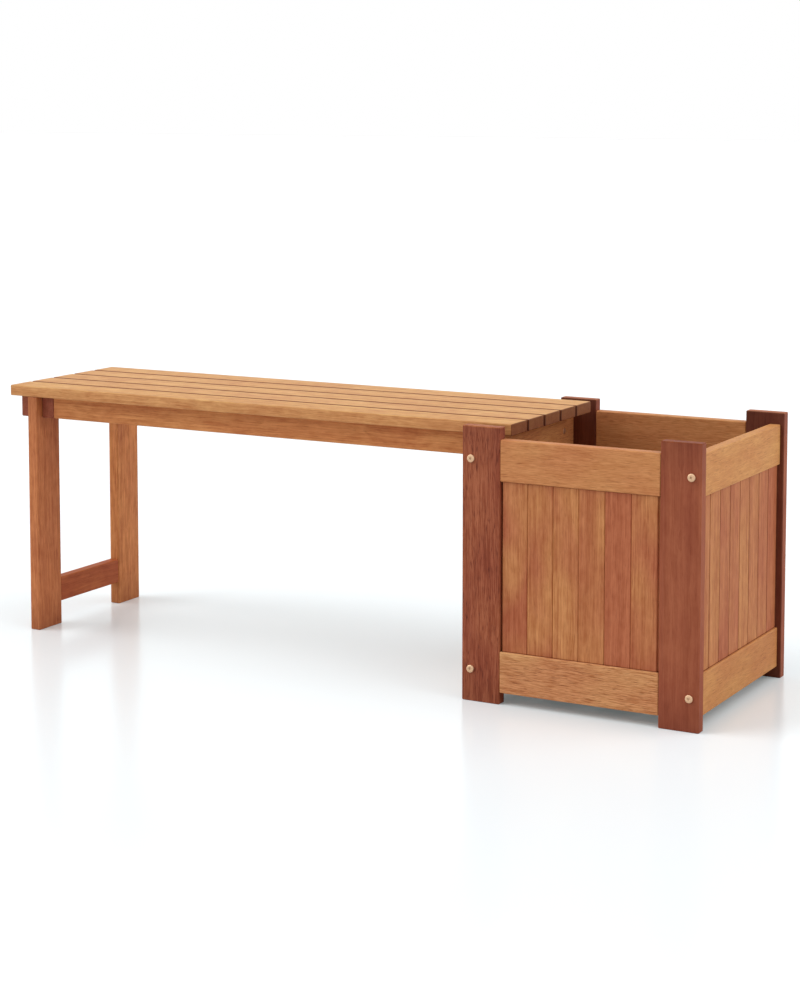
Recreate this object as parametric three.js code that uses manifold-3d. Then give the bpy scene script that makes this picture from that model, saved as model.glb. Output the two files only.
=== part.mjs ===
// Bench with planter: a slatted seat that stands on a leg frame at one end
// and rests on the side of a boarded planter box at the other.
//
// Millimetres. X runs along the seat towards the planter, -Y is the front and Z is up.
// The origin lies on the ground, under the middle of the whole piece.

import * as THREE from "three";
import { mergeVertices } from "three/addons/utils/BufferGeometryUtils.js";
import Module from "manifold-3d";

const wasm = await Module();
wasm.setup();

// Planter box
const planterLength = 382;
const planterDepth = 368;
const postHeight = 420;
const postWidth = 63;
const railWidth = 63;
const frameThick = 18; // stock of the posts and rails
const footGap = 18; // clear height under the bottom rails
const sideInset = 6; // the side rails stand back from the outer edges of the posts

// Stub tenons that join the front and back rails to the posts
const tenonLength = 12;
const tenonThick = 8;
const tenonShoulder = 10; // wood left above and below a tenon

// Tongue-and-groove boards that fill the four sides
const boardThick = 10;
const boardVee = 1.2; // chamfer on both face edges, so that each joint shows as a V
const tongueLength = 4;
const tongueThick = 3.4;
const panelGrooveDepth = 8; // groove in a rail that takes the board ends
const frontBoardCount = 6;
const sideBoardCount = 8;
const boardRunGap = 2.3; // a run of boards stops short of its first post, so that it can swell

// Floor of the planter
const cleatWidth = 18;
const cleatHeight = 24;
const floorSlatThick = 12;
const floorSlatGap = 8; // drainage gap
const floorSlatCount = 4;

// Seat
const seatReach = 888; // from the planter to the free end of the seat
const seatPostGap = 20.5; // between the seat's long edges and the posts
const slatCount = 5;
const slatThick = 18;
const slatGap = 4;
const bearerThick = 24; // stock of the aprons and battens under the slats
const bearerHeight = 36;
const apronSetback = 15; // the aprons and batten ends stand back from the seat edge
const seatEndOverhang = 12; // slats past the outer batten

// Leg frame
const legWidth = 62;
const legThick = 19;
const stretcherHeight = 42;
const stretcherThick = 18;
const stretcherTenonLength = 14;
const stretcherTenonThick = 8;
const legBoltSpread = 24; // between the two bolts at the top of a leg
const legBoltHold = 18; // how deep the bore of a leg bolt goes into the inner batten

// Bolts and their bores
const boltHeadDiameter = 12;
const boltHeadHeight = 2.6;
const boltHeadEase = 0.9;
const boltShankDiameter = 6;
const boltLength = 64; // under the head
const boltTipEase = 1;
const socketAcross = 4; // across the flats of the hexagon
const socketDepth = 1.9;
const nutDiameter = 10;
const nutFromTip = 10; // from the tip of a bolt back to the middle of its barrel nut
const nutBoreFloor = 3.5; // wood left outside the bore of a barrel nut

// Edges and fits
const arris = 2; // radius on the long edges of the timber
const endEase = 1; // chamfer round the ends of the timber
const jointGap = 0.3; // air between two faces that meet
const overrun = 5; // how far a cutting solid reaches past the wood
const rooting = 4; // how far a tenon's solid reaches into its own rail

// Facets
const arrisSteps = 2;
const boreSides = 16;
const headSides = 24;
const hexSides = 6;

// Heights that several pieces share
const seatTop = postHeight;
const seatUnderside = seatTop - slatThick;
const topRailBase = seatUnderside - railWidth;
const bottomRailTop = footGap + railWidth;
const boardReach = panelGrooveDepth - jointGap;
const boardRecess = (frameThick - boardThick) / 2;

// Places along and across the piece
const wholeLength = seatReach + planterLength;
const seatLeft = -wholeLength / 2;
const planterLeft = seatLeft + seatReach;
const planterRight = planterLeft + planterLength;
const planterFront = -planterDepth / 2;
const seatDepth = planterDepth - 2 * (frameThick + seatPostGap);
const seatFront = -seatDepth / 2;
const slatPitch = (seatDepth + slatGap) / slatCount;
const slatLength = seatReach + postWidth; // the slats run on to the inner edges of the posts
const legLeft = seatLeft + seatEndOverhang + bearerThick + jointGap;

// Oiled hardwood, with boards and slats that differ as real ones do, and brass-plated steel
const tan = "#c48a5c";
const russet = "#8a4a38";
const umber = "#7d4334";
const slatTones = ["#d29a68", "#cf9562", "#d39c6b", "#cb925f", "#d19866"];
const boardTones = ["#b2704e", "#b97654", "#bb7d55", "#b67248", "#a35c42", "#b56d48", "#ad6a4b", "#bd7c58"];
const brass = "#d8b98c";
const oiledFinish = { roughness: 0.55, metalness: 0 };
const platedFinish = { roughness: 0.35, metalness: 1 };

const part = new THREE.Group();

// Solids

// Turns a solid made along Z so that it lies along another axis
const AXES = {
  x: new THREE.Matrix4().makeBasis(
    new THREE.Vector3(0, 1, 0),
    new THREE.Vector3(0, 0, 1),
    new THREE.Vector3(1, 0, 0),
  ),
  y: new THREE.Matrix4().makeBasis(
    new THREE.Vector3(0, 0, 1),
    new THREE.Vector3(1, 0, 0),
    new THREE.Vector3(0, 1, 0),
  ),
  z: new THREE.Matrix4(),
};
const SECTION = { x: ["y", "z"], y: ["z", "x"], z: ["x", "y"] };

// A rectangle with its low corner at zero and round corners
function easedRectangle(width, height, radius) {
  const shape = new THREE.Shape();
  const quarter = Math.PI / 2;
  shape.absarc(width - radius, height - radius, radius, 0, quarter);
  shape.absarc(radius, height - radius, radius, quarter, 2 * quarter);
  shape.absarc(radius, radius, radius, 2 * quarter, 3 * quarter);
  shape.absarc(width - radius, radius, radius, 3 * quarter, 4 * quarter);
  shape.closePath();
  return shape;
}

// A planed length of timber: round arrises along it and a small chamfer round both ends.
// Its low corner is at zero and it runs along the named axis.
function timber(size, along) {
  const [across, up] = SECTION[along];
  const geometry = new THREE.ExtrudeGeometry(easedRectangle(size[across], size[up], arris), {
    depth: size[along] - 2 * endEase,
    curveSegments: arrisSteps,
    bevelEnabled: true,
    bevelThickness: endEase,
    bevelSize: endEase,
    bevelOffset: -endEase,
    bevelSegments: 1,
  });
  geometry.translate(0, 0, endEase);
  return geometry.applyMatrix4(AXES[along]);
}

// A plain block with its low corner at the given place
function block(size, place) {
  const geometry = new THREE.BoxGeometry(size.x, size.y, size.z);
  return geometry.translate(place.x + size.x / 2, place.y + size.y / 2, place.z + size.z / 2);
}

// A round bar that starts at the given place and runs up the named axis
function bar(diameter, length, along, place) {
  const geometry = new THREE.CylinderGeometry(diameter / 2, diameter / 2, length, boreSides);
  geometry.rotateX(Math.PI / 2);
  geometry.translate(0, 0, length / 2);
  geometry.applyMatrix4(AXES[along]);
  return geometry.translate(place.x, place.y, place.z);
}

function toManifold(geometry) {
  const bare = geometry.clone();
  bare.deleteAttribute("normal");
  bare.deleteAttribute("uv");
  const welded = mergeVertices(bare);
  return new wasm.Manifold(
    new wasm.Mesh({
      numProp: 3,
      vertProperties: new Float32Array(welded.attributes.position.array),
      triVerts: new Uint32Array(welded.index.array),
    }),
  );
}

function toGeometry(solid) {
  const mesh = solid.getMesh();
  const geometry = new THREE.BufferGeometry();
  geometry.setAttribute("position", new THREE.BufferAttribute(mesh.vertProperties, mesh.numProp));
  geometry.setIndex(new THREE.BufferAttribute(mesh.triVerts, 1));
  geometry.computeVertexNormals();
  return geometry;
}

// Joins the added solids to a piece of wood, then cuts the others away
function worked(wood, added, cut) {
  let solid = toManifold(wood);
  for (const shape of added) {
    solid = solid.add(toManifold(shape));
  }
  for (const shape of cut) {
    solid = solid.subtract(toManifold(shape));
  }
  return toGeometry(solid);
}

// Puts a named piece in a group, with its low corner at the given place
function piece(name, geometry, colour, place, holder = part) {
  const finish = colour === brass ? platedFinish : oiledFinish;
  const material = new THREE.MeshStandardMaterial({ color: colour, ...finish });
  const mesh = new THREE.Mesh(geometry, material);
  mesh.name = name;
  mesh.position.set(place.x, place.y, place.z);
  holder.add(mesh);
  return mesh;
}

// Planter posts

// The places, up the post, of whatever meets the bottom and the top rail
const railBases = { bottom: footGap, top: topRailBase };
const tenonHeight = railWidth - 2 * tenonShoulder;
const boltFromEdge = sideInset + frameThick / 2;
const boltBoreDiameter = boltShankDiameter + 2 * jointGap;

// A board on end, wide face to the front. Its inner edge has a mortise for each rail tenon,
// and its outer side has a bore for each bolt into the side rail.
function post(innerEdgeOnRight) {
  const size = { x: postWidth, y: frameThick, z: postHeight };
  const mortise = {
    x: tenonLength + overrun,
    y: tenonThick + 2 * jointGap,
    z: tenonHeight + 2 * jointGap,
  };
  const mortiseX = innerEdgeOnRight ? postWidth - tenonLength : -overrun;
  const boreX = innerEdgeOnRight ? boltFromEdge : postWidth - boltFromEdge;
  const cuts = [];
  for (const base of Object.values(railBases)) {
    const mortiseY = (frameThick - mortise.y) / 2;
    const mortiseZ = base + tenonShoulder - jointGap;
    cuts.push(block(mortise, { x: mortiseX, y: mortiseY, z: mortiseZ }));
    const boreStart = { x: boreX, y: -overrun, z: base + railWidth / 2 };
    cuts.push(bar(boltBoreDiameter, frameThick + 2 * overrun, "y", boreStart));
  }
  return worked(timber(size, "z"), [], cuts);
}

const planterBack = planterFront + planterDepth;
const postRows = { front: planterFront, back: planterBack - frameThick };
for (const [row, y] of Object.entries(postRows)) {
  piece(`post_${row}_left`, post(true), russet, { x: planterLeft, y, z: 0 });
  piece(`post_${row}_right`, post(false), umber, { x: planterRight - postWidth, y, z: 0 });
}

// Planter sides: each is made as if it faced the front, with X along it and Y inwards

// The long groove that takes the ends of the boards
function panelGroove(length, opensUp) {
  const size = {
    x: length + 2 * overrun,
    y: boardThick + 2 * jointGap,
    z: panelGrooveDepth + overrun,
  };
  const z = opensUp ? railWidth - panelGrooveDepth : -overrun;
  return block(size, { x: -overrun, y: (frameThick - size.y) / 2, z });
}

// A stub tenon on one end of a rail. It starts inside the rail, so that the two join.
function tenon(x) {
  const size = { x: tenonLength + rooting, y: tenonThick, z: tenonHeight };
  return block(size, { x, y: (frameThick - tenonThick) / 2, z: tenonShoulder });
}

// The bores in both ends of a bolted rail: the bolt along it, the barrel nut from its inner face
function boltBores(length) {
  const bores = [];
  const depth = boltLength - frameThick;
  const nutCentre = depth - nutFromTip;
  const nutBoreDepth = frameThick - nutBoreFloor;
  const middle = railWidth / 2;
  for (const atStart of [true, false]) {
    const boltX = atStart ? -overrun : length - depth;
    const boltPlace = { x: boltX, y: frameThick / 2, z: middle };
    bores.push(bar(boltBoreDiameter, depth + overrun, "x", boltPlace));
    const nutX = atStart ? nutCentre : length - nutCentre;
    const nutPlace = { x: nutX, y: nutBoreFloor, z: middle };
    bores.push(bar(nutDiameter + 2 * jointGap, nutBoreDepth + overrun, "y", nutPlace));
  }
  return bores;
}

function rail(length, opensUp, tenoned) {
  const size = { x: length, y: frameThick, z: railWidth };
  const tenons = tenoned ? [tenon(-tenonLength), tenon(length - rooting)] : [];
  const bores = tenoned ? [] : boltBores(length);
  return worked(timber(size, "x"), tenons, [panelGroove(length, opensUp), ...bores]);
}

// The plan of a run of boards, seen from above: V joints on the face, a groove at the start
// of every board that follows another, and a tongue at the end of every board but a last one.
function boardPlan(widths, startsGrooved, endTongue) {
  const tongueFrom = (boardThick - tongueThick) / 2;
  const tongueTo = tongueFrom + tongueThick;
  const total = widths.reduce((sum, width) => sum + width, 0);
  const points = [[boardVee, 0]];
  let x = 0;
  for (const width of widths.slice(0, -1)) {
    x += width;
    points.push([x - boardVee, 0], [x, boardVee], [x + boardVee, 0]);
  }
  points.push([total - boardVee, 0], [total, boardVee]);
  if (endTongue > 0) {
    points.push([total, tongueFrom], [total + endTongue, tongueFrom]);
    points.push([total + endTongue, tongueTo], [total, tongueTo]);
  }
  points.push([total, boardThick], [0, boardThick]);
  if (startsGrooved) {
    const depth = tongueLength + jointGap;
    points.push([0, tongueTo + jointGap], [depth, tongueTo + jointGap]);
    points.push([depth, tongueFrom - jointGap], [0, tongueFrom - jointGap]);
  }
  points.push([0, boardVee]);
  return new THREE.Shape(points.map(([px, py]) => new THREE.Vector2(px, py)));
}

function boardSolid(plan) {
  const length = topRailBase - bottomRailTop + 2 * boardReach;
  return new THREE.ExtrudeGeometry(plan, { depth: length, bevelEnabled: false });
}

// One side of the planter: two rails and the boards between them. The last board of a
// tenoned side keeps its tongue, which stops against the post. On a bolted side it is cut off.
function planterSide({ name, opening, boards, tenoned, joined, tones }) {
  const side = new THREE.Group();
  const length = opening - 2 * jointGap;
  piece(`${name}_bottom_rail`, rail(length, true, tenoned), tan, { x: jointGap, y: 0, z: footGap }, side);
  piece(`${name}_top_rail`, rail(length, false, tenoned), tan, { x: jointGap, y: 0, z: topRailBase }, side);

  const lastTongue = tenoned ? tongueLength : 0;
  const cover = (length - boardRunGap - lastTongue) / boards;
  const base = bottomRailTop - boardReach;
  const place = { x: jointGap + boardRunGap, y: boardRecess, z: base };
  if (joined) {
    const plan = boardPlan(Array(boards).fill(cover), false, lastTongue);
    piece(`${name}_board_panel`, boardSolid(plan), boardTones[0], place, side);
    return side;
  }
  for (let i = 0; i < boards; i += 1) {
    const last = i === boards - 1;
    const width = last ? cover : cover - jointGap;
    const plan = boardPlan([width], i > 0, last ? lastTongue : tongueLength);
    const x = place.x + i * cover;
    piece(`${name}_board_${i + 1}`, boardSolid(plan), tones[i], { ...place, x }, side);
  }
  return side;
}

const frontOpening = planterLength - 2 * postWidth;
const sideOpening = planterDepth - 2 * frameThick;
const quarterTurn = Math.PI / 2;

const frontSide = planterSide({
  name: "front",
  opening: frontOpening,
  boards: frontBoardCount,
  tenoned: true,
  tones: boardTones,
});
frontSide.position.set(planterLeft + postWidth, planterFront, 0);

const rightSide = planterSide({
  name: "right",
  opening: sideOpening,
  boards: sideBoardCount,
  tenoned: false,
  tones: boardTones.toReversed(),
});
rightSide.position.set(planterRight - sideInset, planterFront + frameThick, 0);
rightSide.rotation.z = quarterTurn;

const backSide = planterSide({
  name: "back",
  opening: frontOpening,
  boards: frontBoardCount,
  tenoned: true,
  tones: boardTones.slice(2),
});
backSide.position.set(planterRight - postWidth, planterBack, 0);
backSide.rotation.z = 2 * quarterTurn;

// The side under the seat is glued up as one panel
const leftSide = planterSide({
  name: "left",
  opening: sideOpening,
  boards: sideBoardCount,
  tenoned: false,
  joined: true,
});
leftSide.position.set(planterLeft + sideInset, planterBack - frameThick, 0);
leftSide.rotation.z = -quarterTurn;
part.add(frontSide, rightSide, backSide, leftSide);

// Planter bolts: a low head with a hexagon socket, over a plain shank that ends in the barrel nut

function bolt() {
  const headRadius = boltHeadDiameter / 2;
  const shankRadius = boltShankDiameter / 2;
  const outline = [
    [0, -boltLength],
    [shankRadius - boltTipEase, -boltLength],
    [shankRadius, boltTipEase - boltLength],
    [shankRadius, 0],
    [headRadius, 0],
    [headRadius, boltHeadHeight - boltHeadEase],
    [headRadius - boltHeadEase, boltHeadHeight],
    [0, boltHeadHeight],
  ];
  const points = outline.map(([radius, height]) => new THREE.Vector2(radius, height));
  const body = new THREE.LatheGeometry(points, headSides);
  const cornerRadius = socketAcross / Math.sqrt(3);
  const socketHeight = socketDepth + overrun;
  const socket = new THREE.CylinderGeometry(cornerRadius, cornerRadius, socketHeight, hexSides);
  socket.translate(0, boltHeadHeight - socketDepth + socketHeight / 2, 0);
  return worked(body, [], [socket]);
}

// The head seats on the face of the post, and the bolt points inwards
function placeBolt(name, x, z, atFront) {
  const y = atFront ? planterFront - jointGap : planterBack + jointGap;
  const mesh = piece(name, bolt(), brass, { x, y, z });
  mesh.rotation.z = atFront ? 2 * quarterTurn : 0;
}

const boltColumns = { left: planterLeft + boltFromEdge, right: planterRight - boltFromEdge };
for (const row of ["front", "back"]) {
  for (const [column, x] of Object.entries(boltColumns)) {
    for (const [level, base] of Object.entries(railBases)) {
      placeBolt(`bolt_${row}_${column}_${level}`, x, base + railWidth / 2, row === "front");
    }
  }
}

// Planter floor: loose slats on two cleats

const insideLeft = planterLeft + sideInset + frameThick + jointGap;
const insideLength = planterLength - 2 * (sideInset + frameThick + jointGap);
const insideFront = planterFront + frameThick + jointGap;
const insideDepth = planterDepth - 2 * (frameThick + jointGap);
const cleatSize = { x: insideLength, y: cleatWidth, z: cleatHeight };
piece("floor_cleat_front", timber(cleatSize, "x"), tan, { x: insideLeft, y: insideFront, z: footGap });
const backCleatY = insideFront + insideDepth - cleatWidth;
piece("floor_cleat_back", timber(cleatSize, "x"), tan, { x: insideLeft, y: backCleatY, z: footGap });

const floorPitch = (insideLength + floorSlatGap) / floorSlatCount;
const floorSize = { x: floorPitch - floorSlatGap, y: insideDepth, z: floorSlatThick };
for (let i = 0; i < floorSlatCount; i += 1) {
  const place = { x: insideLeft + i * floorPitch, y: insideFront, z: footGap + cleatHeight + jointGap };
  piece(`floor_slat_${i + 1}`, timber(floorSize, "y"), boardTones[i], place);
}

// Seat: slats along it, on two aprons and three battens

const slatSize = { x: slatLength, y: slatPitch - slatGap, z: slatThick };
for (let i = 0; i < slatCount; i += 1) {
  const place = { x: seatLeft, y: seatFront + i * slatPitch, z: seatUnderside };
  piece(`seat_slat_${i + 1}`, timber(slatSize, "x"), slatTones[i % slatTones.length], place);
}

const bearerTop = seatUnderside - jointGap;
const bearerBase = bearerTop - bearerHeight;
const legRight = legLeft + legThick;
const innerBattenLeft = legRight + jointGap;
const apronLeft = innerBattenLeft + bearerThick + jointGap;
const apronRight = planterLeft + sideInset - jointGap;
const bearerFront = seatFront + apronSetback;
const bearerBack = -bearerFront;

const apronSize = { x: apronRight - apronLeft, y: bearerThick, z: bearerHeight };
piece("seat_apron_front", timber(apronSize, "x"), tan, { x: apronLeft, y: bearerFront, z: bearerBase });
const backApronY = bearerBack - bearerThick;
piece("seat_apron_back", timber(apronSize, "x"), tan, { x: apronLeft, y: backApronY, z: bearerBase });

// The bores for a pair of leg bolts, from the left face of a batten or a leg to the given depth
function legBoltBores(depth, middle, z) {
  return [-legBoltSpread / 2, legBoltSpread / 2].map((step) => {
    const place = { x: -overrun, y: middle + step, z };
    return bar(boltBoreDiameter, overrun + depth, "x", place);
  });
}

// Each pair lies in the middle of the width that a leg and a batten share
const legOverlap = legWidth - apronSetback;
const battenSize = { x: bearerThick, y: bearerBack - bearerFront, z: bearerHeight };
function boltedBatten(boreDepth) {
  const atFront = legBoltBores(boreDepth, legOverlap / 2, bearerHeight / 2);
  const atBack = legBoltBores(boreDepth, battenSize.y - legOverlap / 2, bearerHeight / 2);
  return worked(timber(battenSize, "y"), [], [...atFront, ...atBack]);
}
const outerBattenPlace = { x: seatLeft + seatEndOverhang, y: bearerFront, z: bearerBase };
const innerBattenPlace = { ...outerBattenPlace, x: innerBattenLeft };
piece("seat_batten_outer", boltedBatten(bearerThick + overrun), russet, outerBattenPlace);
piece("seat_batten_inner", boltedBatten(legBoltHold), russet, innerBattenPlace);

// The middle batten fits between the aprons
const middleSize = {
  x: bearerThick,
  y: backApronY - bearerFront - bearerThick - 2 * jointGap,
  z: bearerHeight,
};
piece("seat_batten_middle", timber(middleSize, "y"), russet, {
  x: (apronLeft + apronRight - bearerThick) / 2,
  y: bearerFront + bearerThick + jointGap,
  z: bearerBase,
});

// Leg frame: two legs joined low down by a stretcher with stub tenons

const stretcherBase = bottomRailTop - stretcherHeight;
const stretcherTenonHeight = stretcherHeight - 2 * tenonShoulder;

function leg(atFront) {
  const size = { x: legThick, y: legWidth, z: bearerTop };
  const mortise = {
    x: stretcherTenonThick + 2 * jointGap,
    y: stretcherTenonLength + overrun,
    z: stretcherTenonHeight + 2 * jointGap,
  };
  const mortisePlace = {
    x: (legThick - mortise.x) / 2,
    y: atFront ? legWidth - stretcherTenonLength : -overrun,
    z: stretcherBase + tenonShoulder - jointGap,
  };
  const overlapMiddle = atFront ? legWidth - legOverlap / 2 : legOverlap / 2;
  const bores = legBoltBores(legThick + overrun, overlapMiddle, bearerBase + bearerHeight / 2);
  return worked(timber(size, "z"), [], [block(mortise, mortisePlace), ...bores]);
}
piece("bench_leg_front", leg(true), tan, { x: legLeft, y: seatFront, z: 0 });
piece("bench_leg_back", leg(false), tan, { x: legLeft, y: -seatFront - legWidth, z: 0 });

function stretcher() {
  const length = seatDepth - 2 * (legWidth + jointGap);
  const size = { x: stretcherThick, y: length, z: stretcherHeight };
  const tenonSize = {
    x: stretcherTenonThick,
    y: stretcherTenonLength + rooting,
    z: stretcherTenonHeight,
  };
  const x = (stretcherThick - stretcherTenonThick) / 2;
  const tenons = [
    block(tenonSize, { x, y: -stretcherTenonLength, z: tenonShoulder }),
    block(tenonSize, { x, y: length - rooting, z: tenonShoulder }),
  ];
  return worked(timber(size, "y"), tenons, []);
}
piece("leg_stretcher", stretcher(), tan, {
  x: legLeft + (legThick - stretcherThick) / 2,
  y: seatFront + legWidth + jointGap,
  z: stretcherBase,
});

export default part;
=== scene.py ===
import math
import random

import bmesh
import bpy
from mathutils import Matrix, Vector


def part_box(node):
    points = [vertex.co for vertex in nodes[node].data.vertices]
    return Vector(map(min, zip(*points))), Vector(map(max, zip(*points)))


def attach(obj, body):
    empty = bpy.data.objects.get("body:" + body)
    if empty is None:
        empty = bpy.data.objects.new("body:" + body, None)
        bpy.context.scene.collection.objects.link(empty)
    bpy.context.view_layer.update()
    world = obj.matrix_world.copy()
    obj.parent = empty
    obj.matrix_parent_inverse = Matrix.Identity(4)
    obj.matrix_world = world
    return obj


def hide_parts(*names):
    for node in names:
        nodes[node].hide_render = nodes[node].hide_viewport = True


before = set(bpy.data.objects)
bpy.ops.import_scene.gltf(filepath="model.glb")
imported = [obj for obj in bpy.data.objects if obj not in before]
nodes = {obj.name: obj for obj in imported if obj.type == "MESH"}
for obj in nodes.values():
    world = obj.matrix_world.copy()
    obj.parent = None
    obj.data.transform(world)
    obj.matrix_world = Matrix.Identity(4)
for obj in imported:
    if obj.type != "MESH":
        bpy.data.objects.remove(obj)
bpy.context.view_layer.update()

MM = 0.001

# Camera. Its place and lens were fitted to corners of the posts, seat and legs in the photograph.
PHOTO_HEIGHT = 1000
FOCAL_PIXELS = 2216.7
HORIZON_SHIFT_PIXELS = 200
SENSOR_MM = 36
CAMERA_PLACE = Vector((1.7638, -3.1090, 0.9097))
CAMERA_AZIMUTH = 28.944
CAMERA_PITCH = 5.242
NEAREST_SEEN = 0.05
FARTHEST_SEEN = 200

# Light: an even sky, a high lamp in front, a low one at the front left and one at the planter's end.
# A lamp's level is the share of white that it gives to a surface that faces it.
SKY_LEVEL = 0.43
WHITE_LEVEL = 1.0
HIGH_LAMP = {"level": 0.2, "spread": 60, "elevation": 78, "azimuth": -20}
FRONT_LAMP = {"level": 0.44, "spread": 45, "elevation": 35, "azimuth": -60}
END_LAMP = {"level": 0.42, "spread": 70, "elevation": 35, "azimuth": 105}

# Floor: its paint as it lights the object and as the eye sees it, how strongly it glows and in what
# tint, and how many metres it reaches from its middle
FLOOR_PAINT = "#dcdcdc"
FLOOR_PAINT_SEEN = "#f3f8fb"
FLOOR_ROUGHNESS = 0.2
FLOOR_SPECULAR = 0.45
FLOOR_GLOW = 0.1
FLOOR_GLOW_TINT = (0.8, 1.1, 1.14, 1)
FLOOR_REACH = 40

# Hardware sizes, in millimetres
BOLT_HEAD_HEIGHT = 2.6
BOLT_SHANK_DIAMETER = 6
SOCKET_ACROSS = 4
SOCKET_DEPTH = 1.8
SOCKET_CHAMFER = 0.48
BARREL_NUT_DIAMETER = 10
BARREL_NUT_LENGTH = 14
NUT_RIM = 0.4
NUT_SLOT_WIDTH = 1.2
NUT_SLOT_DEPTH = 1
NUT_BORE_CLEARANCE = 0.1
NUT_FROM_TIP = 10
NUT_UNDER_FACE = 0.3
LEG_BOLT_SPREAD = 24
LEG_BOLT_LENGTH = 60
LEG_BOLT_HEAD_DIAMETER = 12
MERGE_DISTANCE = 0.001


def linear(text):
    """An sRGB hex colour as linear red, green, blue and alpha."""
    shares = [int(text[i : i + 2], 16) / 255 for i in (1, 3, 5)]
    return [c / 12.92 if c <= 0.04045 else ((c + 0.055) / 1.055) ** 2.4 for c in shares] + [1]


def add(tree, kind, inputs=None, **settings):
    """Adds a node with its settings. An input is a value or another node's output."""
    node = tree.nodes.new(kind)
    for name, value in settings.items():
        setattr(node, name, value)
    for socket, value in (inputs or {}).items():
        if isinstance(value, bpy.types.NodeSocket):
            tree.links.new(value, node.inputs[socket])
        else:
            node.inputs[socket].default_value = value
    return node


def new_material(name):
    """An empty material and its tree."""
    material = bpy.data.materials.new(name)
    material.use_nodes = True
    material.node_tree.nodes.clear()
    return material, material.node_tree


# Planed, oiled hardwood. The grain is solid: growth rings round a heart that lies outside the
# board, fibre streaks and open pores that all run along it, so faces, edges and ends agree.

# Sizes in the wood, in millimetres. Real pores are 0.3 mm wide. They are drawn wider, so that they
# show at the photograph's size.
RING_MM = 5.5
BAND_MM = 8
PATCH_MM = 60
MOTTLE_MM = 11
PORE_MM = 0.9
WANDER_MM = 5
WANDER_REACH_MM = 70
ARRIS_MM = 2.2

# The share of its length that the log keeps under a texture, which stretches it along the grain
FIBRE_SHARE = 0.022
PORE_SHARE = 0.06
PATCH_SHARE = 0.5

# The spacing of a wave's rings at a scale of 1, in metres, and how the rings waver
WAVE_UNIT = 2 * math.pi / 20
RING_WAVER = {"Distortion": 5.5, "Detail": 2.5, "Detail Scale": 0.55, "Detail Roughness": 0.55}

# Where in its log a board lay: how far its heart is off to one side at most, and how far outside
# the face, in millimetres, how far up or down the log, in metres, and its slants, in radians
HEART_ASIDE_MM = 22
HEART_OUTSIDE_MM = (25, 60)
ALONG_LOG = 4
SLANTS = (0.02, 0.012)
# How far apart in the log, in metres, the boards of a glued panel may come from
GLUED_APART = (0.04, 0.04, 2)

# Between which values a noise goes from none to all of a tone's drift, of a streak or a cloud, of a
# pore, and of the dullness of soft fibres. A ring is palest where it starts.
DRIFT_RISE = (0.35, 0.65)
STREAK_RISE = (0.3, 0.7)
RING_RISE = (1, 0)
PORE_RISE = (0.58, 0.76)
DULL_RISE = (0.2, 0.8)
# How much of the figure the rings take, and how far a board's tone strays from its stock's
RING_STRENGTH = 0.5
LEAN_STRAY = 0.1
# The share of its width at which a rim of painted light, highlight or shade is full
RIM_FULL_SHARE = 0.3

# What a streak of dark fibres and a pore leave of the colour, what a darkened end leaves, partly
# oil drunk by end grain and partly painted shade, what the painted shade at a seam and on a post's
# face inside the planter leaves, and how much paler the painted highlight on an arris makes it
PALE_FIBRE = "#ffffff"
DARK_FIBRE = "#d0b39e"
PORE_STAIN = "#ab8a7c"
OIL_AND_PAINTED_SHADE = "#8f6a58"
PAINTED_INNER_SHADE = "#b4adad"
PAINTED_ARRIS_HIGHLIGHT = (1.12, 1.18, 1.15, 1)

# The oiled surface: its roughness on hard and on soft fibres, the depth of a pore against the
# relief of the fibres, and the strength and the height of that relief
OIL_IOR = 1.46
OIL_SPECULAR = 0.3
OIL_ROUGHNESS = (0.5, 0.68)
PORE_DEPTH = 1.2
RELIEF_STRENGTH = 0.5
RELIEF_MM = 0.2

FIRST_SEED = 11


def grain_turn(thick, wide, long):
    """The rotation that lays a board's grain along Z, its width along X and its thickness along Y."""
    rows = Matrix.Identity(3)
    for row, axis in ((0, wide), (1, thick), (2, long)):
        rows[row] = [1.0 if column == axis else 0.0 for column in range(3)]
    if rows.determinant() < 0:
        rows[1] = -rows[1]
    return rows.to_euler("XYZ")


def log_place(tree, board, width, stock, picks):
    """The place in the log that a place on the board was cut from. Each board of a glued panel comes
    from a place of its own, and the grain wanders."""
    stretch = board
    if stock["glued"] > 1:
        across = add(tree, "ShaderNodeSeparateXYZ", {0: board})
        count = add(
            tree,
            "ShaderNodeMath",
            {0: across.outputs["X"], 1: stock["glued"] / width},
            operation="MULTIPLY",
        )
        number = add(tree, "ShaderNodeMath", {0: count.outputs[0]}, operation="FLOOR")
        own = add(tree, "ShaderNodeTexWhiteNoise", {"W": number.outputs[0]}, noise_dimensions="1D")
        shift = add(
            tree,
            "ShaderNodeVectorMath",
            {0: own.outputs["Color"], 1: GLUED_APART, 2: board},
            operation="MULTIPLY_ADD",
        )
        stretch = shift.outputs[0]
    aside = picks.uniform(-HEART_ASIDE_MM, HEART_ASIDE_MM)
    outside = picks.choice((-1, 1)) * picks.uniform(*HEART_OUTSIDE_MM)
    along = picks.uniform(-ALONG_LOG, ALONG_LOG)
    slants = [picks.uniform(-slant, slant) for slant in SLANTS]
    straight = add(
        tree,
        "ShaderNodeMapping",
        {
            "Vector": stretch,
            "Location": (aside * MM, outside * MM, along),
            "Rotation": (*slants, 0),
        },
    )
    sway = add(
        tree,
        "ShaderNodeTexNoise",
        {"Vector": straight.outputs[0], "Scale": 1 / (WANDER_REACH_MM * MM), "Detail": 1},
    )
    sway_around_zero = add(
        tree,
        "ShaderNodeVectorMath",
        {0: sway.outputs["Color"], 1: (0.5, 0.5, 0.5)},
        operation="SUBTRACT",
    )
    wander = stock["wander"] * WANDER_MM * MM
    log = add(
        tree,
        "ShaderNodeVectorMath",
        {0: sway_around_zero.outputs[0], 1: (wander, wander, 0), 2: straight.outputs[0]},
        operation="MULTIPLY_ADD",
    )
    return log.outputs[0]


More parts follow.
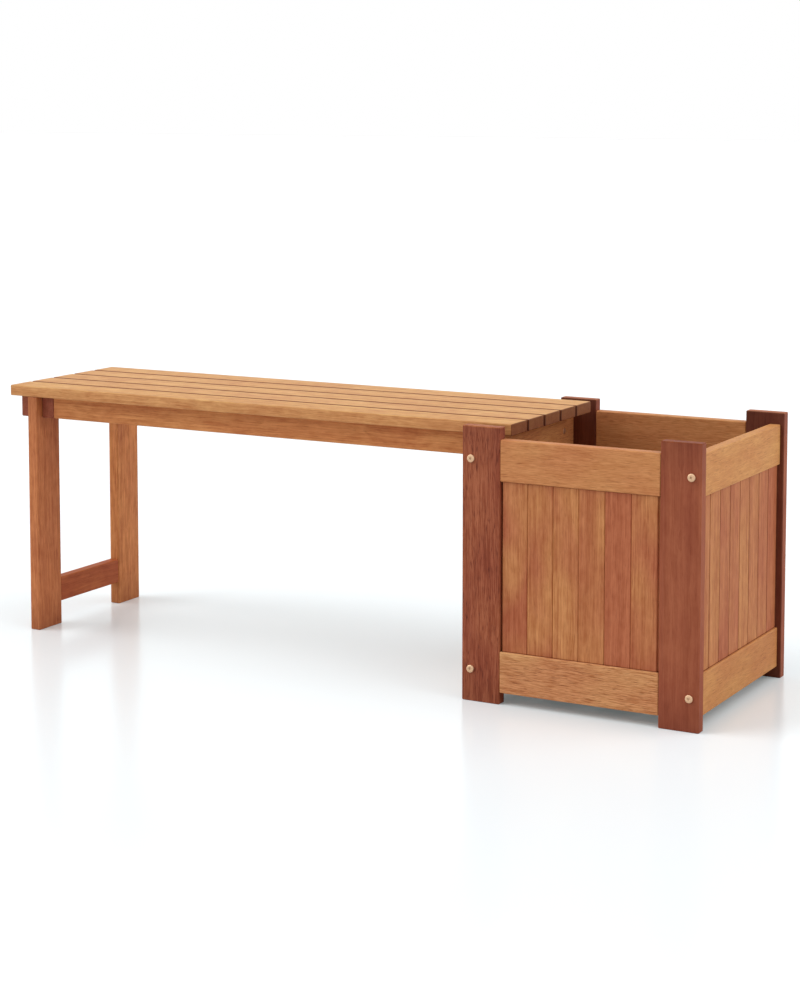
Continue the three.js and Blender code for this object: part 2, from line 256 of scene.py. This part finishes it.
def grain_textures(tree, log, stock):
    """The rings, fibres, bands, patches, clouds and pores, each drawn on the log with its length
    shrunk, so that it runs with the grain."""
    fibre_share = FIBRE_SHARE / stock["run"]
    textures = {}
    for kind, share, width, detail, roughness in (
        ("fibres", fibre_share, stock["fibre"], 4, 0.65),
        ("bands", fibre_share, BAND_MM, 3, 0.5),
        ("patches", PATCH_SHARE, PATCH_MM, 1, 0.5),
        ("mottle", PATCH_SHARE, MOTTLE_MM, 2, 0.6),
        ("pores", PORE_SHARE, PORE_MM, 1, 0.4),
    ):
        shrunk = add(tree, "ShaderNodeVectorMath", {0: log, 1: (1, 1, share)}, operation="MULTIPLY")
        noise = add(
            tree,
            "ShaderNodeTexNoise",
            {
                "Vector": shrunk.outputs[0],
                "Scale": 1 / (width * MM),
                "Detail": detail,
                "Roughness": roughness,
            },
        )
        textures[kind] = noise.outputs[0]
    shrunk = add(
        tree, "ShaderNodeVectorMath", {0: log, 1: (1, 1, fibre_share)}, operation="MULTIPLY"
    )
    rings = add(
        tree,
        "ShaderNodeTexWave",
        {"Vector": shrunk.outputs[0], "Scale": WAVE_UNIT / (RING_MM * MM), **RING_WAVER},
        wave_type="RINGS",
        rings_direction="Z",
        wave_profile="SAW",
    )
    textures["rings"] = rings.outputs["Fac"]
    return textures


def grain_colour(tree, textures, stock, picks):
    """A tone that drifts between the stock's red and its gold, stained by how dark each fibre is."""
    lean = stock["lean"] + picks.uniform(-LEAN_STRAY, LEAN_STRAY)
    golden = add(
        tree,
        "ShaderNodeMapRange",
        {
            "Value": textures["patches"],
            "From Min": DRIFT_RISE[0],
            "From Max": DRIFT_RISE[1],
            "To Min": lean - stock["drift"] / 2,
            "To Max": lean + stock["drift"] / 2,
        },
    )
    paleness = 0.5
    for kind, rise, strength in (
        ("fibres", STREAK_RISE, stock["streaks"]),
        ("bands", STREAK_RISE, stock["figure"]),
        ("rings", RING_RISE, RING_STRENGTH * stock["figure"]),
        ("mottle", STREAK_RISE, stock["mottle"]),
    ):
        part = add(
            tree,
            "ShaderNodeMapRange",
            {
                "Value": textures[kind],
                "From Min": rise[0],
                "From Max": rise[1],
                "To Min": -strength / 2,
                "To Max": strength / 2,
            },
        )
        total = add(tree, "ShaderNodeMath", {0: paleness, 1: part.outputs[0]}, operation="ADD")
        paleness = total.outputs[0]
    tone = add(
        tree,
        "ShaderNodeMix",
        {"Factor": golden.outputs[0], "A": linear(stock["red"]), "B": linear(stock["gold"])},
        data_type="RGBA",
    )
    darkening = add(
        tree,
        "ShaderNodeMix",
        {"Factor": paleness, "A": linear(DARK_FIBRE), "B": linear(PALE_FIBRE)},
        data_type="RGBA",
    )
    stained = add(
        tree,
        "ShaderNodeVectorMath",
        {0: tone.outputs["Result"], 1: darkening.outputs["Result"]},
        operation="MULTIPLY",
    )
    return stained.outputs[0]


def rim(edge, width, side=1):
    """Where a rim of this many millimetres starts and is full, on the way out to an edge."""
    return {
        "From Min": side * (edge - width * MM),
        "From Max": side * (edge - RIM_FULL_SHARE * width * MM),
    }


def hardwood(name, low, high, stock, seed):
    """Oiled meranti with a satin sheen. Its tone drifts between a red and a gold along the board,
    under wandering rings, fine fibre streaks and short open pores. Its upper face carries painted
    light and shade, its arrises a painted highlight, and its ends are darker, partly as oil drunk by
    end grain and partly as painted shade where boards run into rails. Painted shade darkens the
    edges where boards meet and the faces of posts that look into the planter."""
    material, tree = new_material(name)
    picks = random.Random(seed)
    size = high - low
    thick, wide, long = sorted(range(3), key=lambda axis: size[axis])
    if stock["glued"] > 1:
        wide, long = long, wide
    half_thick = size[thick] / 2
    half_wide = size[wide] / 2
    half_long = size[long] / 2

    place = add(tree, "ShaderNodeTexCoord")
    centred = add(
        tree,
        "ShaderNodeVectorMath",
        {0: place.outputs["Object"], 1: (low + high) / 2},
        operation="SUBTRACT",
    )
    board = add(
        tree,
        "ShaderNodeMapping",
        {"Vector": centred.outputs[0], "Rotation": grain_turn(thick, wide, long)},
    )
    log = log_place(tree, board.outputs[0], size[wide], stock, picks)
    textures = grain_textures(tree, log, stock)
    colour = grain_colour(tree, textures, stock, picks)

    # Masks, each from none to all of the coat that it brings
    offset = add(tree, "ShaderNodeSeparateXYZ", {0: board.outputs[0]})
    unsigned = add(tree, "ShaderNodeVectorMath", {0: board.outputs[0]}, operation="ABSOLUTE")
    distance = add(tree, "ShaderNodeSeparateXYZ", {0: unsigned.outputs[0]})
    pore_mask = add(
        tree,
        "ShaderNodeMapRange",
        {
            "Value": textures["pores"],
            "From Min": PORE_RISE[0],
            "From Max": PORE_RISE[1],
            "To Max": stock["pores"],
        },
        interpolation_type="SMOOTHSTEP",
    )
    end_oil_and_shade_mask = add(
        tree,
        "ShaderNodeMapRange",
        {
            "Value": distance.outputs["Z"],
            "From Min": half_long - stock["ends_from"] * MM,
            "From Max": half_long - stock["ends_full"] * MM,
            "To Max": stock["ends"],
        },
    )
    # The ends are darkened, partly as oil drunk by end grain and partly as painted shade where boards
    # run into rails
    coats = [(pore_mask, linear(PORE_STAIN)), (end_oil_and_shade_mask, linear(OIL_AND_PAINTED_SHADE))]
    # Painted shade at the edges beside the gaps where boards meet, and on the faces of posts that
    # look into the planter
    for axis, half, width, strengths, darkening in (
        ("X", half_wide, stock["seam_shade_width"], stock["seam_shade"], OIL_AND_PAINTED_SHADE),
        ("Y", half_thick, ARRIS_MM, stock["inner_shade"], PAINTED_INNER_SHADE),
    ):
        for side, strength in zip((-1, 1), strengths):
            mask = add(
                tree,
                "ShaderNodeMapRange",
                {"Value": offset.outputs[axis], **rim(half, width, side), "To Max": strength},
            )
            coats.append((mask, linear(darkening)))
    # A painted highlight on the arrises
    near_edge = add(
        tree, "ShaderNodeMapRange", {"Value": distance.outputs["X"], **rim(half_wide, ARRIS_MM)}
    )
    near_face = add(
        tree,
        "ShaderNodeMapRange",
        {
            "Value": distance.outputs["Y"],
            **rim(half_thick, ARRIS_MM),
            "To Max": stock["arris_highlight"],
        },
    )
    arris_highlight_mask = add(
        tree,
        "ShaderNodeMath",
        {0: near_edge.outputs[0], 1: near_face.outputs[0]},
        operation="MULTIPLY",
    )
    # Painted light and shade on the upper face
    height = add(tree, "ShaderNodeSeparateXYZ", {0: place.outputs["Object"]})
    top_light_mask = add(
        tree, "ShaderNodeMapRange", {"Value": height.outputs["Z"], **rim(high.z, ARRIS_MM)}
    )
    coats += [(arris_highlight_mask, PAINTED_ARRIS_HIGHLIGHT), (top_light_mask, stock["top_light"])]
    for mask, coat in coats:
        coated = add(
            tree,
            "ShaderNodeMix",
            {"Factor": mask.outputs[0], "A": colour, "B": coat},
            data_type="RGBA",
            blend_type="MULTIPLY",
        )
        colour = coated.outputs["Result"]

    # Sheen and relief: the oil lies smooth on hard fibres and dull on soft ones, and the pores sink
    sheen = add(
        tree,
        "ShaderNodeMapRange",
        {
            "Value": textures["fibres"],
            "From Min": DULL_RISE[0],
            "From Max": DULL_RISE[1],
            "To Min": OIL_ROUGHNESS[0],
            "To Max": OIL_ROUGHNESS[1],
        },
    )
    sunk = add(
        tree, "ShaderNodeMath", {0: pore_mask.outputs[0], 1: -PORE_DEPTH}, operation="MULTIPLY"
    )
    relief = add(
        tree, "ShaderNodeMath", {0: textures["fibres"], 1: sunk.outputs[0]}, operation="ADD"
    )
    bump = add(
        tree,
        "ShaderNodeBump",
        {"Strength": RELIEF_STRENGTH, "Distance": RELIEF_MM * MM, "Height": relief.outputs[0]},
    )
    surface = add(
        tree,
        "ShaderNodeBsdfPrincipled",
        {
            "Base Color": colour,
            "Roughness": sheen.outputs[0],
            "Normal": bump.outputs[0],
            "IOR": OIL_IOR,
            "Specular IOR Level": OIL_SPECULAR,
        },
    )
    add(tree, "ShaderNodeOutputMaterial", {"Surface": surface.outputs[0]})
    return material


# The stock that each piece is cut from:
# red and gold: the tones of its palest fibres, which it drifts between
# lean and drift: how golden it is on the whole, and how far it drifts
# streaks, figure, mottle and pores: how strongly the fibres, the bands and rings, the short clouds
# across the grain, and the pores show
# fibre: how broad a streak of fibres is, in millimetres
# wander and run: how far the grain wanders, and how long its streaks run
# arris_highlight: how strongly a painted highlight makes the arrises paler
# ends: how dark the ends are, partly as oil drunk by end grain and partly as painted shade
# ends_from and ends_full: where that starts and is full, in millimetres from the end
# seam_shade and seam_shade_width: how dark the painted shade is at the edges where boards meet,
# at the low and the high side, and for how many millimetres
# inner_shade: the painted shade on the low and the high face, where one of them looks into the
# planter
# top_light: what painted light and shade make of the red, green and blue of the upper face
# glued: how many boards are glued side by side
PLAIN = {
    "lean": 0.5,
    "drift": 1,
    "streaks": 0.8,
    "figure": 0.4,
    "mottle": 0.4,
    "pores": 0.35,
    "fibre": 1.6,
    "wander": 1,
    "run": 1,
    "arris_highlight": 0.4,
    "ends": 0.4,
    "ends_from": 1.2,
    "ends_full": 0.6,
    "seam_shade": (0, 0),
    "seam_shade_width": 1.6,
    "inner_shade": (0, 0),
    "top_light": (1, 1, 1, 1),
    "glued": 1,
}
AMBER = {
    **PLAIN,
    "red": "#d2905c",
    "gold": "#dba267",
    "drift": 0.8,
    "figure": 0.2,
    "mottle": 0.2,
    "pores": 0.5,
    "fibre": 1.3,
    "wander": 0.4,
    "run": 0.35,
    "arris_highlight": 0.6,
    # Painted shade on the upper face
    "top_light": (0.94, 0.93, 0.93, 1),
}
SLAT = {
    **PLAIN,
    "red": "#dea56d",
    "gold": "#e9b778",
    "drift": 0.5,
    "streaks": 0.5,
    "figure": 0.3,
    "arris_highlight": 0,
    "ends": 0.9,
    # Painted shade along the edges beside the gaps between slats
    "seam_shade": (1, 1),
    "seam_shade_width": 2.8,
    # The upper face's tint is painted light and shade
    "top_light": (0.96, 0.99, 1.01, 1),
}
TAN = {**PLAIN, "red": "#d48951", "gold": "#dd985c"}
LEG = {
    **PLAIN,
    "red": "#d48955",
    "gold": "#e69d5e",
    "drift": 0.6,
    "streaks": 1.1,
    "figure": 0.3,
    "ends": 0.35,
    "ends_from": 60,
    "ends_full": 0,
}
# Painted light on the stretcher's upper face
DEEP = {**PLAIN, "red": "#b35d33", "gold": "#bd693b", "top_light": (1.1, 1.2, 1, 1)}
RUSSET = {
    **PLAIN,
    "red": "#9e5338",
    "gold": "#ac6342",
    "arris_highlight": 0.6,
    "ends": 0.25,
    "ends_from": 70,
    "ends_full": 0,
    # Painted shade on the face that looks into the planter
    "inner_shade": (0, 1),
    # Painted light on the tops
    "top_light": (1.4, 1.7, 1.3, 1),
}
UMBER = {**PLAIN, "red": "#a85c44", "gold": "#b66b4e", "arris_highlight": 0.3, "ends": 0.2}
BOARD = {
    **PLAIN,
    "red": "#bf734d",
    "gold": "#d2935b",
    "drift": 0.9,
    "wander": 0.6,
    "arris_highlight": 0,
    # Painted shade where a board runs into a rail: the part just outside the groove is darkened
    "ends": 0.8,
    "ends_from": 9,
    "ends_full": 8.2,
}
# The front boards carry a painted highlight on the chamfers of their joints, which lightens the shade
# in the joints
FRONT_BOARD = {**BOARD, "red": "#bf714c", "gold": "#d5945d", "arris_highlight": 1}
# Painted shade at the edges where the end's boards meet
END_BOARD = {**BOARD, "drift": 0.5, "seam_shade": (0.7, 0.7)}

# The stock of the pieces whose names start so. The first that fits holds.
STOCK = {
    "front_bottom_rail": {
        **AMBER,
        "red": "#d89867",
        "gold": "#e1ab73",
        "streaks": 1.4,
        "pores": 0.9,
    },
    "front_top_rail": {**AMBER, "red": "#d38c5a", "gold": "#dc9e65"},
    "right_top_rail": {**AMBER, "red": "#d8985d", "gold": "#e1aa68", "streaks": 0.5},
    "right_bottom_rail": {**AMBER, "red": "#d19157", "gold": "#daa362", "streaks": 0.55},
    "seat_slat_1": {
        **SLAT,
        "red": "#db9e65",
        "gold": "#e4ac70",
        "drift": 0.9,
        "streaks": 0.8,
        # Painted shade only on the edge beside a gap
        "seam_shade": (0, 1),
        # Painted light on the top
        "top_light": (1, 1.11, 1.07, 1),
    },
    # Painted shade only on the edge beside a gap
    "seat_slat_5": {**SLAT, "seam_shade": (1, 0)},
    "seat_slat": SLAT,
    "seat_apron": TAN,
    "seat_batten": UMBER,
    "bench_leg_front": {**LEG, "red": "#cd7f51", "gold": "#de9159"},
    "bench_leg_back": LEG,
    "leg_stretcher": DEEP,
    "post_front_left": {**RUSSET, "streaks": 2.2, "figure": 0.9, "pores": 1, "fibre": 1.2},
    "post_front_right": {
        **RUSSET,
        "drift": 0.8,
        "streaks": 0.4,
        "figure": 0.45,
        "mottle": 0.3,
        "pores": 0.2,
        # Painted shade on the top
        "top_light": (0.8, 0.65, 0.2, 1),
    },
    # Painted shade on the front face, which looks into the planter
    "post_back": {**RUSSET, "inner_shade": (1, 0)},
    "floor_cleat": TAN,
    "left_board_panel": {**BOARD, "glued": 8},
}
# How golden each board of the front and of the planter's end is
FRONT_LEANS = (0.35, 0.7, 0.95, 0.8, -0.7, 0.4)
END_LEANS = (0.6, 0.8, 0.2, 0.25, 0.65, 0.6, 0.35, 0.05)


def stock_of(name):
    """The stock of a piece. The other rails are amber, and the rest is board."""
    for start, stock in STOCK.items():
        if name.startswith(start):
            return stock
    if name.startswith("front_board"):
        return {**FRONT_BOARD, "lean": FRONT_LEANS[int(name[-1]) - 1]}
    if name.startswith("right_board"):
        return {**END_BOARD, "lean": END_LEANS[int(name[-1]) - 1]}
    return AMBER if name.endswith("rail") else BOARD


def oil_timber():
    """Gives each wooden piece a wood of its own."""
    for index, name in enumerate(sorted(nodes)):
        if name.startswith("bolt"):
            continue
        low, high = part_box(name)
        seed = index + FIRST_SEED
        wood = hardwood(f"oiled_meranti_{name}", low, high, stock_of(name), seed)
        mesh = nodes[name].data
        mesh.materials.clear()
        mesh.materials.append(wood)


oil_timber()


# Bolts and barrel nuts: brass-plated steel, turned, with a pressed hexagon socket or a sawn slot

ROUND_SIDES = 48
HEX_SIDES = 6
DOME_STEPS = 5
RIM_STEPS = 2
# The share of a head's height that its domed edge takes, and of a shank's radius that its tip takes
DOME_SHARE = 0.45
TIP_SHARE = 0.3
SHARP_ANGLE = 30
# The grit of the plate is finer than this. It is drawn coarser, so that it shows.
GRIT_MM = 0.8
ROUGHNESS_STRAY = 0.1


def brass_plate(name, dark_tone, pale_tone, roughness, metallic):
    """Brass plate on turned steel: a pale yellow, satin metal with a fine grain. Under oil and dust
    the eye sees their dull coat, which isn't metallic."""
    material, tree = new_material(name)
    place = add(tree, "ShaderNodeTexCoord")
    grit = add(
        tree,
        "ShaderNodeTexNoise",
        {
            "Vector": place.outputs["Object"],
            "Scale": 1 / (GRIT_MM * MM),
            "Detail": 3,
            "Roughness": 0.6,
        },
    )
    tint = add(
        tree,
        "ShaderNodeMix",
        {"Factor": grit.outputs[0], "A": linear(dark_tone), "B": linear(pale_tone)},
        data_type="RGBA",
    )
    dullness = add(
        tree,
        "ShaderNodeMapRange",
        {
            "Value": grit.outputs[0],
            "To Min": roughness - ROUGHNESS_STRAY,
            "To Max": roughness + ROUGHNESS_STRAY,
        },
    )
    surface = add(
        tree,
        "ShaderNodeBsdfPrincipled",
        {
            "Base Color": tint.outputs["Result"],
            "Metallic": metallic,
            "Roughness": dullness.outputs[0],
        },
    )
    add(tree, "ShaderNodeOutputMaterial", {"Surface": surface.outputs[0]})
    return material


BRASS = brass_plate("brass_plated_steel", "#d2aa85", "#e2c2a2", roughness=0.5, metallic=1)
# Oil and dust gather in a socket
SOCKET_BRASS = brass_plate(
    "grimy_brass_plate", "#dcb993", "#e8cbaa", roughness=0.75, metallic=0
)


def finished(name, bm):
    """A finished piece of hardware in the scene, riding on the bench."""
    mesh = bpy.data.meshes.new(name)
    bm.to_mesh(mesh)
    bm.free()
    for face in mesh.polygons:
        face.use_smooth = True
    mesh.set_sharp_from_angle(angle=math.radians(SHARP_ANGLE))
    mesh.materials.append(BRASS)
    mesh.materials.append(SOCKET_BRASS)
    piece = bpy.data.objects.new(name, mesh)
    bpy.context.scene.collection.objects.link(piece)
    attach(piece, "root")
    return piece


def closed(bm):
    """Merges doubled corners and turns the faces outwards."""
    bmesh.ops.remove_doubles(bm, verts=bm.verts[:], dist=MERGE_DISTANCE * MM)
    bmesh.ops.recalc_face_normals(bm, faces=bm.faces[:])


def placed(bm, quarters, axis, place):
    """Turns a shape by so many quarters about an axis, and moves it to its place."""
    turn = Matrix.Rotation(quarters * math.pi / 2, 3, axis)
    bmesh.ops.rotate(bm, cent=(0, 0, 0), matrix=turn, verts=bm.verts[:])
    bmesh.ops.translate(bm, vec=place, verts=bm.verts[:])


def drawn(bm, edges, radius_from, radius_to, rise):
    """Extrudes a ring of edges to another radius and height, and gives the new ring."""
    made = bmesh.ops.extrude_edge_only(bm, edges=edges)["geom"]
    corners = [item for item in made if isinstance(item, bmesh.types.BMVert)]
    share = radius_to / radius_from
    bmesh.ops.scale(bm, vec=(share, share, 1), verts=corners)
    bmesh.ops.translate(bm, vec=(0, 0, rise), verts=corners)
    return [item for item in made if isinstance(item, bmesh.types.BMEdge)]


def bolt_shape(head_radius, length):
    """A bolt on end, its head's seat at Z zero: domed edge, chamfered hexagon socket, plain shank."""
    head_height = BOLT_HEAD_HEIGHT * MM
    shank_radius = BOLT_SHANK_DIAMETER / 2 * MM
    corner = SOCKET_ACROSS * MM / math.sqrt(3)
    chamfer = SOCKET_CHAMFER * MM
    bm = bmesh.new()
    bmesh.ops.create_circle(bm, segments=HEX_SIDES, radius=corner)
    bmesh.ops.subdivide_edges(bm, edges=bm.edges[:], cuts=ROUND_SIDES // HEX_SIDES - 1)
    mouth = bm.edges[:]
    bmesh.ops.translate(bm, vec=(0, 0, head_height), verts=bm.verts[:])
    rim_edges = drawn(bm, mouth, corner, corner + chamfer, 0)
    mouth_corners = list({vert for edge in mouth for vert in edge.verts})
    bmesh.ops.translate(bm, vec=(0, 0, -chamfer), verts=mouth_corners)
    bottom = drawn(bm, mouth, corner, corner, chamfer - SOCKET_DEPTH * MM)
    bmesh.ops.contextual_create(bm, geom=bottom)
    socket = bm.faces[:]

    dome = DOME_SHARE * head_height
    face_radius = head_radius - dome
    ring = drawn(bm, rim_edges, corner, corner, 0)
    for vert in {vert for edge in ring for vert in edge.verts}:
        vert.co.xy = face_radius * vert.co.xy.normalized()
    radius = face_radius
    height = head_height
    for step in range(1, DOME_STEPS + 1):
        angle = math.pi / 2 * step / DOME_STEPS
        next_radius = face_radius + dome * math.sin(angle)
        next_height = head_height - dome + dome * math.cos(angle)
        ring = drawn(bm, ring, radius, next_radius, next_height - height)
        radius = next_radius
        height = next_height
    ring = drawn(bm, ring, radius, radius, -height)
    ring = drawn(bm, ring, radius, shank_radius, 0)
    tip = TIP_SHARE * shank_radius
    ring = drawn(bm, ring, shank_radius, shank_radius, tip - length)
    ring = drawn(bm, ring, shank_radius, shank_radius - tip, -tip)
    bmesh.ops.contextual_create(bm, geom=ring)
    for face in socket:
        face.material_index = 1
    closed(bm)
    return bm


def planter_bolts():
    """Each planter bolt stands in for its plainer solid, in the same place."""
    head = BOLT_HEAD_HEIGHT * MM
    for name in sorted(nodes):
        if not name.startswith("bolt"):
            continue
        low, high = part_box(name)
        at_front = "front" in name
        bm = bolt_shape((high.x - low.x) / 2, high.y - low.y - head)
        seat = low.y + head if at_front else high.y - head
        middle = Vector(((low.x + high.x) / 2, seat, (low.z + high.z) / 2))
        placed(bm, 1 if at_front else -1, "X", middle)
        piece = finished(f"{name}_turned", bm)
        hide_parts(name)


def leg_bolts():
    """Two bolts at each leg, through the outer batten and the leg into the inner batten."""
    low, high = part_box("seat_batten_outer")
    for row, outwards in (("front", -1), ("back", 1)):
        leg_low, leg_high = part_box(f"bench_leg_{row}")
        shared = (max(low.y, leg_low.y) + min(high.y, leg_high.y)) / 2
        for side, step in (("inner", -outwards), ("outer", outwards)):
            bm = bolt_shape(LEG_BOLT_HEAD_DIAMETER / 2 * MM, LEG_BOLT_LENGTH * MM)
            y = shared + step * LEG_BOLT_SPREAD / 2 * MM
            placed(bm, -1, "Y", Vector((low.x, y, (low.z + high.z) / 2)))
            finished(f"leg_bolt_{row}_{side}", bm)


def less(bm, cutter):
    """The first solid less the second, cut by a modifier on a passing object."""
    passing = []
    for solid in (bm, cutter):
        mesh = bpy.data.meshes.new("passing")
        solid.to_mesh(mesh)
        solid.free()
        passing.append(bpy.data.objects.new("passing", mesh))
        bpy.context.scene.collection.objects.link(passing[-1])
    cut = passing[0].modifiers.new("cut", "BOOLEAN")
    cut.operation = "DIFFERENCE"
    cut.solver = "EXACT"
    cut.object = passing[1]
    whole = passing[0].evaluated_get(bpy.context.evaluated_depsgraph_get())
    result = bmesh.new()
    result.from_mesh(whole.to_mesh())
    whole.to_mesh_clear()
    for item in passing:
        mesh = item.data
        bpy.data.objects.remove(item)
        bpy.data.meshes.remove(mesh)
    return result


def barrel(radius, length):
    """A round bar on end, centred."""
    bm = bmesh.new()
    bmesh.ops.create_cone(
        bm, cap_ends=True, segments=ROUND_SIDES, radius1=radius, radius2=radius, depth=length
    )
    return bm


def barrel_nut():
    """A barrel nut on end: eased rims, a cross bore for its bolt and a slot across its upper face."""
    radius = BARREL_NUT_DIAMETER / 2 * MM
    length = BARREL_NUT_LENGTH * MM
    cutter_length = 3 * radius
    bm = barrel(radius, length)
    rims = [edge for edge in bm.edges if edge.verts[0].co.z * edge.verts[1].co.z > 0]
    bmesh.ops.bevel(
        bm,
        geom=rims,
        offset=NUT_RIM * MM,
        affect="EDGES",
        segments=RIM_STEPS,
        profile=0.5,
        material=-1,
    )
    bore = barrel((BOLT_SHANK_DIAMETER / 2 + NUT_BORE_CLEARANCE) * MM, cutter_length)
    placed(bore, 1, "X", (0, 0, 0))
    bm = less(bm, bore)
    slot = bmesh.new()
    bmesh.ops.create_cube(slot, size=1)
    slot_size = (cutter_length, NUT_SLOT_WIDTH * MM, 2 * NUT_SLOT_DEPTH * MM)
    bmesh.ops.scale(slot, vec=slot_size, verts=slot.verts[:])
    bmesh.ops.translate(slot, vec=(0, 0, length / 2), verts=slot.verts[:])
    bm = less(bm, slot)
    closed(bm)
    return bm


def barrel_nuts():
    """A barrel nut in each end of the bolted rails. Its slotted face looks into the planter."""
    depth = (BARREL_NUT_LENGTH / 2 + NUT_UNDER_FACE) * MM
    for side, facing in (("left", 1), ("right", -1)):
        for level in ("bottom", "top"):
            low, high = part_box(f"{side}_{level}_rail")
            inner_face = high.x if facing == 1 else low.x
            for row, inwards in (("front", -1), ("back", 1)):
                bolt_low, bolt_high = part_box(f"bolt_{row}_{side}_{level}")
                tip = bolt_high.y if row == "front" else bolt_low.y
                y = tip + inwards * NUT_FROM_TIP * MM
                middle = Vector((inner_face - facing * depth, y, (bolt_low.z + bolt_high.z) / 2))
                bm = barrel_nut()
                placed(bm, facing, "Y", middle)
                finished(f"barrel_nut_{row}_{side}_{level}", bm)


planter_bolts()
leg_bolts()
barrel_nuts()


# Stage: a plain pale floor, a white sky and three soft lamps


def floor():
    """A pale satin floor. The eye sees its paint white and cool, with a glow that thins the
    object's shadow and takes out the tint that the wood throws on it."""
    material, tree = new_material("pale_studio_floor")
    rays = add(tree, "ShaderNodeLightPath")
    seen = rays.outputs["Is Camera Ray"]
    colour = add(
        tree,
        "ShaderNodeMix",
        {"Factor": seen, "A": linear(FLOOR_PAINT), "B": linear(FLOOR_PAINT_SEEN)},
        data_type="RGBA",
    )
    paint = add(
        tree,
        "ShaderNodeBsdfPrincipled",
        {
            "Base Color": colour.outputs["Result"],
            "Roughness": FLOOR_ROUGHNESS,
            "Specular IOR Level": FLOOR_SPECULAR,
        },
    )
    strength = add(tree, "ShaderNodeMath", {0: seen, 1: FLOOR_GLOW}, operation="MULTIPLY")
    glow = add(
        tree, "ShaderNodeEmission", {"Color": FLOOR_GLOW_TINT, "Strength": strength.outputs[0]}
    )
    surface = add(tree, "ShaderNodeAddShader", {0: paint.outputs[0], 1: glow.outputs[0]})
    add(tree, "ShaderNodeOutputMaterial", {"Surface": surface.outputs[0]})
    bm = bmesh.new()
    bmesh.ops.create_grid(bm, x_segments=1, y_segments=1, size=FLOOR_REACH)
    mesh = bpy.data.meshes.new("studio_floor")
    bm.to_mesh(mesh)
    bm.free()
    mesh.materials.append(material)
    piece = bpy.data.objects.new("studio_floor", mesh)
    bpy.context.scene.collection.objects.link(piece)


def sky():
    """Plain even light, which the eye and the metal see as white."""
    world = bpy.data.worlds.new("studio_sky")
    world.use_nodes = True
    tree = world.node_tree
    tree.nodes.clear()
    rays = add(tree, "ShaderNodeLightPath")
    seen = rays.outputs["Is Camera Ray"]
    for kind in ("Is Glossy Ray", "Is Transmission Ray"):
        either = add(
            tree, "ShaderNodeMath", {0: seen, 1: rays.outputs[kind]}, operation="MAXIMUM"
        )
        seen = either.outputs[0]
    strength = add(
        tree, "ShaderNodeMapRange", {"Value": seen, "To Min": SKY_LEVEL, "To Max": WHITE_LEVEL}
    )
    light = add(
        tree, "ShaderNodeBackground", {"Color": (1, 1, 1, 1), "Strength": strength.outputs[0]}
    )
    add(tree, "ShaderNodeOutputWorld", {"Surface": light.outputs[0]})
    bpy.context.scene.world = world


def lamp(name, level, spread, elevation, azimuth):
    """A broad soft lamp far off. Azimuth 0 is the front, and 90 the planter's end."""
    light = bpy.data.lights.new(name, "SUN")
    light.energy = level * math.pi
    light.angle = math.radians(spread)
    holder = bpy.data.objects.new(name, light)
    holder.rotation_euler = (math.radians(90 - elevation), 0, math.radians(azimuth))
    bpy.context.scene.collection.objects.link(holder)


def camera():
    """The photograph's camera. Its shift stands for part of its tilt, so uprights lean little."""
    data = bpy.data.cameras.new("photo_camera")
    data.sensor_width = SENSOR_MM
    data.lens = FOCAL_PIXELS * SENSOR_MM / PHOTO_HEIGHT
    data.shift_y = -HORIZON_SHIFT_PIXELS / PHOTO_HEIGHT
    data.clip_start = NEAREST_SEEN
    data.clip_end = FARTHEST_SEEN
    holder = bpy.data.objects.new("photo_camera", data)
    holder.location = CAMERA_PLACE
    holder.rotation_euler = (math.radians(90 - CAMERA_PITCH), 0, math.radians(CAMERA_AZIMUTH))
    bpy.context.scene.collection.objects.link(holder)
    bpy.context.scene.camera = holder


floor()
sky()
lamp("high_lamp", **HIGH_LAMP)
lamp("front_lamp", **FRONT_LAMP)
lamp("end_lamp", **END_LAMP)
camera()
bpy.context.scene.view_settings.view_transform = "Standard"
